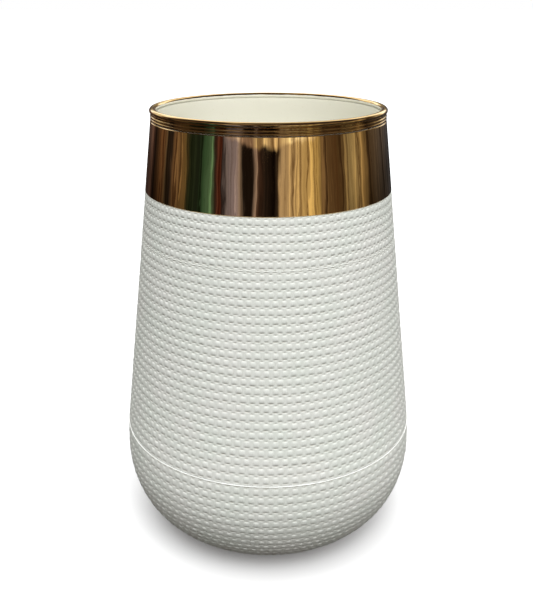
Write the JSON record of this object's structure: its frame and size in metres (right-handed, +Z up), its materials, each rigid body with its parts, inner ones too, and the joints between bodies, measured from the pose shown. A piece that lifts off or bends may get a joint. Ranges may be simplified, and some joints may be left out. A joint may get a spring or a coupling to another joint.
{
  "type": "tall tapered porcelain vase",
  "caption": "Tall tapered porcelain vase, wider low down, with a basket-weave body, a smooth metallic neck band, a rolled lip and a glossy lining.",
  "frame": {"origin": "centre of the base, on the surface the foot ring stands on", "axes": "+Z up along the axis the vase is turned about; X and Y are equivalent"},
  "size_m": [0.2064, 0.2064, 0.3],
  "materials": {
    "upper_wall": "matte white porcelain with a woven relief",
    "lower_bowl": "matte white porcelain with a woven relief",
    "join_bead": "matte white porcelain, fettled line",
    "gold_band": "mirror-bright gold lustre",
    "gold_lip": "mirror-bright gold lustre on a rolled lip",
    "glaze_lining": "glossy cream glaze",
    "foot_ring": "bare unglazed porcelain, slightly rough"
  },
  "bodies": {
    "root": {"upper_wall": "upper_wall", "lower_bowl": "lower_bowl", "join_bead": "join_bead", "gold_band": "gold_band", "gold_lip": "gold_lip", "glaze_lining": "glaze_lining", "foot_ring": "foot_ring"}
  },
  "joints": []
}
